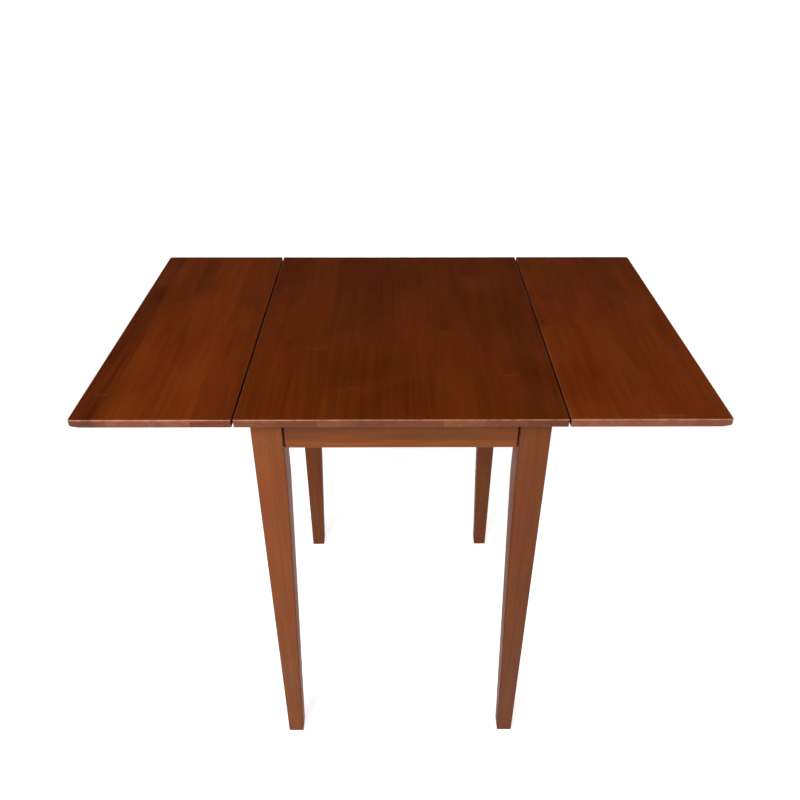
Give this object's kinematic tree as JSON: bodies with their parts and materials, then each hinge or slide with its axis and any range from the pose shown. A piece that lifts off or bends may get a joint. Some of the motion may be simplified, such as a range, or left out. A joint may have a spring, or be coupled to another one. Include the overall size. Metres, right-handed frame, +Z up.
{
  "type": "drop-leaf dining table",
  "caption": "Small rectangular dining table on tapered square legs, with a fixed centre board and a hinged leaf at each end that folds down.",
  "frame": {"origin": "on the floor under the middle of the top", "axes": "+Z up, +X along the length towards the right leaf, +Y from the front edge to the rear edge"},
  "size_m": [0.9144, 0.5588, 0.7493],
  "materials": {
    "top_wood": "dark cherry stain under satin lacquer",
    "leg_wood": "cherry stain under satin lacquer",
    "apron_wood": "cherry stain under satin lacquer",
    "inner_wood": "thin stain, no lacquer",
    "bronzed_steel": "antique bronze plated steel",
    "screw_steel": "yellow zinc",
    "zinc_steel": "bright zinc",
    "glide_plastic": "moulded"
  },
  "bodies": {
    "frame": {"bolt_nuts": "zinc_steel", "bolt_washers": "zinc_steel", "centre_top": "top_wood", "cleat_screws": "screw_steel", "corner_block_screws": "screw_steel", "foot_glides": "glide_plastic", "frame_hinge_screws": "screw_steel", "frame_stay_screws": "screw_steel", "front_apron": "apron_wood", "front_cleat": "inner_wood", "front_left_corner_block": "inner_wood", "front_left_leg": "leg_wood", "front_right_corner_block": "inner_wood", "front_right_leg": "leg_wood", "hanger_bolts": "zinc_steel", "left_apron": "apron_wood", "left_front_hinge_fixed_plate": "bronzed_steel", "left_front_hinge_pin": "bronzed_steel", "left_front_stay_apron_bracket": "bronzed_steel", "left_rear_hinge_fixed_plate": "bronzed_steel", "left_rear_hinge_pin": "bronzed_steel", "left_rear_stay_apron_bracket": "bronzed_steel", "rear_apron": "apron_wood", "rear_cleat": "inner_wood", "rear_left_corner_block": "inner_wood", "rear_left_leg": "leg_wood", "rear_right_corner_block": "inner_wood", "rear_right_leg": "leg_wood", "right_apron": "apron_wood", "right_front_hinge_fixed_plate": "bronzed_steel", "right_front_hinge_pin": "bronzed_steel", "right_front_stay_apron_bracket": "bronzed_steel", "right_rear_hinge_fixed_plate": "bronzed_steel", "right_rear_hinge_pin": "bronzed_steel", "right_rear_stay_apron_bracket": "bronzed_steel", "stay_pivot_rivets": "bronzed_steel"},
    "left_leaf": {"left_front_hinge_leaf_plate": "bronzed_steel", "left_front_stay_leaf_bracket": "bronzed_steel", "left_leaf": "top_wood", "left_leaf_hinge_screws": "screw_steel", "left_leaf_stay_screws": "screw_steel", "left_leaf_stay_studs": "bronzed_steel", "left_rear_hinge_leaf_plate": "bronzed_steel", "left_rear_stay_leaf_bracket": "bronzed_steel"},
    "left_front_stay_arm": {"left_front_stay_arm": "bronzed_steel"},
    "left_rear_stay_arm": {"left_rear_stay_arm": "bronzed_steel"},
    "right_leaf": {"right_front_hinge_leaf_plate": "bronzed_steel", "right_front_stay_leaf_bracket": "bronzed_steel", "right_leaf": "top_wood", "right_leaf_hinge_screws": "screw_steel", "right_leaf_stay_screws": "screw_steel", "right_leaf_stay_studs": "bronzed_steel", "right_rear_hinge_leaf_plate": "bronzed_steel", "right_rear_stay_leaf_bracket": "bronzed_steel"},
    "right_front_stay_arm": {"right_front_stay_arm": "bronzed_steel"},
    "right_rear_stay_arm": {"right_rear_stay_arm": "bronzed_steel"}
  },
  "joints": [
    {"name": "left_leaf_fold", "type": "hinge", "parent": "frame", "child": "left_leaf", "pos_m": [-0.232, 0, 0.7321], "axis": [0, -1, 0], "range_deg": [0, 90]},
    {"name": "right_leaf_fold", "type": "hinge", "parent": "frame", "child": "right_leaf", "pos_m": [0.232, 0, 0.7321], "axis": [0, 1, 0], "range_deg": [0, 90]},
    {"name": "left_front_stay_swing", "type": "hinge", "parent": "frame", "child": "left_front_stay_arm", "pos_m": [-0.2244, -0.1, 0.7052], "axis": [0, -1, 0], "range_deg": [0, 102.6]},
    {"name": "left_rear_stay_swing", "type": "hinge", "parent": "frame", "child": "left_rear_stay_arm", "pos_m": [-0.2244, 0.1, 0.7052], "axis": [0, -1, 0], "range_deg": [0, 102.6]},
    {"name": "right_front_stay_swing", "type": "hinge", "parent": "frame", "child": "right_front_stay_arm", "pos_m": [0.2244, -0.1, 0.7052], "axis": [0, 1, 0], "range_deg": [0, 102.6]},
    {"name": "right_rear_stay_swing", "type": "hinge", "parent": "frame", "child": "right_rear_stay_arm", "pos_m": [0.2244, 0.1, 0.7052], "axis": [0, 1, 0], "range_deg": [0, 102.6]}
  ],
  "couplings": [
    {"joint": "left_front_stay_swing", "follows": "left_leaf_fold", "ratio": 1.14},
    {"joint": "left_rear_stay_swing", "follows": "left_leaf_fold", "ratio": 1.14},
    {"joint": "right_front_stay_swing", "follows": "right_leaf_fold", "ratio": 1.14},
    {"joint": "right_rear_stay_swing", "follows": "right_leaf_fold", "ratio": 1.14}
  ]
}
